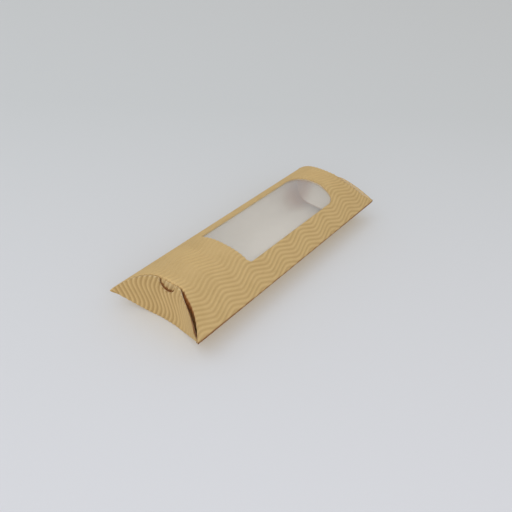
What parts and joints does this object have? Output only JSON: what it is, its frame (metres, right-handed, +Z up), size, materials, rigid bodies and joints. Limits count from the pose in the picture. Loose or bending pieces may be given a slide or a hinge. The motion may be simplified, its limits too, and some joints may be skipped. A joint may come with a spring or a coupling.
{
  "type": "sandwich box",
  "caption": "Pillow-shaped sandwich box of zigzag-fluted kraft board with a clear film window and curved, dished end flaps with thumb notches.",
  "frame": {"origin": "on the surface the box stands on, under the middle of its belly", "axes": "+Z up out of the window, +Y along the box towards the rear end, +X across it towards the glued seam"},
  "size_m": [0.0698, 0.2186, 0.031],
  "materials": {
    "kraft_fluting": "matt natural kraft, fine wavy flutes",
    "pale_liner": "matt uncoated pale liner",
    "clear_film": "clear glossy film"
  },
  "bodies": {
    "sleeve": {"top_panel_fluting": "kraft_fluting", "top_panel_liner": "pale_liner", "bottom_panel_fluting": "kraft_fluting", "bottom_panel_liner": "pale_liner", "window_film": "clear_film", "glue_tab": "pale_liner"},
    "front_outer_flap": {"front_outer_flap_fluting": "kraft_fluting", "front_outer_flap_liner": "pale_liner"},
    "front_inner_flap": {"front_inner_flap_fluting": "kraft_fluting", "front_inner_flap_liner": "pale_liner"},
    "rear_outer_flap": {"rear_outer_flap_fluting": "kraft_fluting", "rear_outer_flap_liner": "pale_liner"},
    "rear_inner_flap": {"rear_inner_flap_fluting": "kraft_fluting", "rear_inner_flap_liner": "pale_liner"}
  },
  "joints": [
    {"name": "front_outer_flap_hinge", "type": "hinge", "parent": "sleeve", "child": "front_outer_flap", "pos_m": [0, -0.0952, 0], "axis": [1, 0, 0], "range_deg": [0, 100]},
    {"name": "front_inner_flap_hinge", "type": "hinge", "parent": "sleeve", "child": "front_inner_flap", "pos_m": [0, -0.0917, 0.0291], "axis": [1, 0, 0], "range_deg": [0, 14]},
    {"name": "rear_outer_flap_hinge", "type": "hinge", "parent": "sleeve", "child": "rear_outer_flap", "pos_m": [0, 0.0952, 0], "axis": [-1, 0, 0], "range_deg": [0, 100]},
    {"name": "rear_inner_flap_hinge", "type": "hinge", "parent": "sleeve", "child": "rear_inner_flap", "pos_m": [0, 0.0917, 0.0291], "axis": [-1, 0, 0], "range_deg": [0, 14]}
  ]
}
